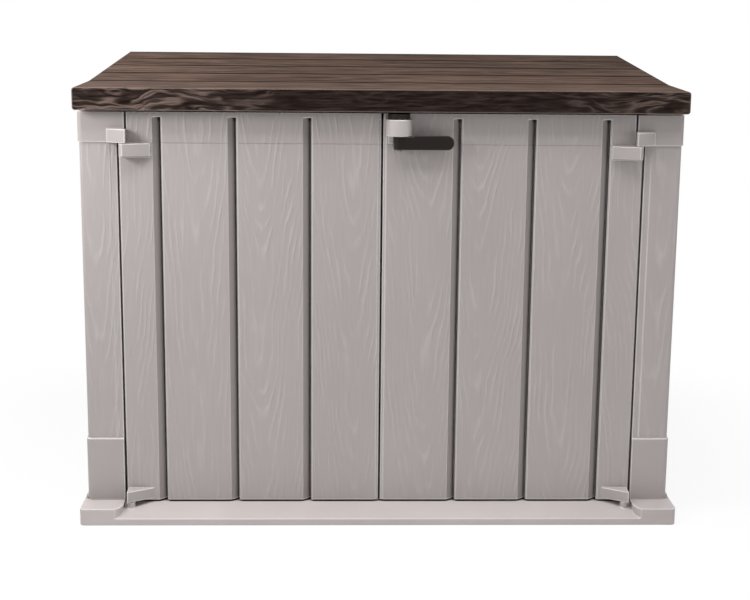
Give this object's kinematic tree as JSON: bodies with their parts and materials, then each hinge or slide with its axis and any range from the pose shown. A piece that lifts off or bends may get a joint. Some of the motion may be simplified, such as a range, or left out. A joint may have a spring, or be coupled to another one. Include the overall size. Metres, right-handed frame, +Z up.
{
  "type": "deck storage box",
  "caption": "Outdoor storage cabinet of ribbed plank-pattern plastic with hinged front doors, a swing latch and a sloped lid that lifts at the rear.",
  "frame": {"origin": "middle of the overall box, on the floor", "axes": "+X to the right seen from the front, +Y to the back, +Z up; the doors face -Y"},
  "size_m": [1.296, 0.75, 0.9937],
  "materials": {
    "body_plastic": "moulded polypropylene, warm light grey, embossed wood grain",
    "lid_plastic": "moulded polypropylene, dark brown, embossed wood grain",
    "latch_plastic": "moulded black plastic, satin",
    "pin_plastic": "moulded plastic pin",
    "zinc_steel": "zinc plated"
  },
  "bodies": {
    "cabinet": {"base_floor": "body_plastic", "left_front_post": "body_plastic", "right_front_post": "body_plastic", "left_side_wall": "body_plastic", "right_side_wall": "body_plastic", "left_back_panel": "body_plastic", "right_back_panel": "body_plastic", "left_upper_hinge_pin": "pin_plastic", "right_upper_hinge_pin": "pin_plastic", "left_lower_hinge_pin": "pin_plastic", "right_lower_hinge_pin": "pin_plastic", "lid_hinge_pins": "zinc_steel", "corner_screws": "zinc_steel", "post_screws": "zinc_steel", "back_joint_screws": "zinc_steel"},
    "left_door": {"left_door_panel": "body_plastic"},
    "right_door": {"right_door_panel": "body_plastic", "latch_housing": "body_plastic", "latch_cap": "latch_plastic", "latch_pin": "zinc_steel", "latch_screws": "zinc_steel"},
    "latch": {"latch_lever": "latch_plastic"},
    "lid": {"lid_panel": "lid_plastic"}
  },
  "joints": [
    {"name": "lid_hinge", "type": "hinge", "parent": "cabinet", "child": "lid", "pos_m": [0, 0.358, 0.96629], "axis": [-1, 0, 0], "range_deg": [0, 100]},
    {"name": "left_door_hinge", "type": "hinge", "parent": "cabinet", "child": "left_door", "pos_m": [-0.543, -0.332, 0.4], "axis": [0, 0, -1], "range_deg": [0, 110]},
    {"name": "right_door_hinge", "type": "hinge", "parent": "cabinet", "child": "right_door", "pos_m": [0.543, -0.332, 0.4], "axis": [0, 0, 1], "range_deg": [0, 110]},
    {"name": "latch_swing", "type": "hinge", "parent": "right_door", "child": "latch", "pos_m": [0.035, -0.328, 0.83], "axis": [0, 0, -1], "range_deg": [0, 90]}
  ]
}
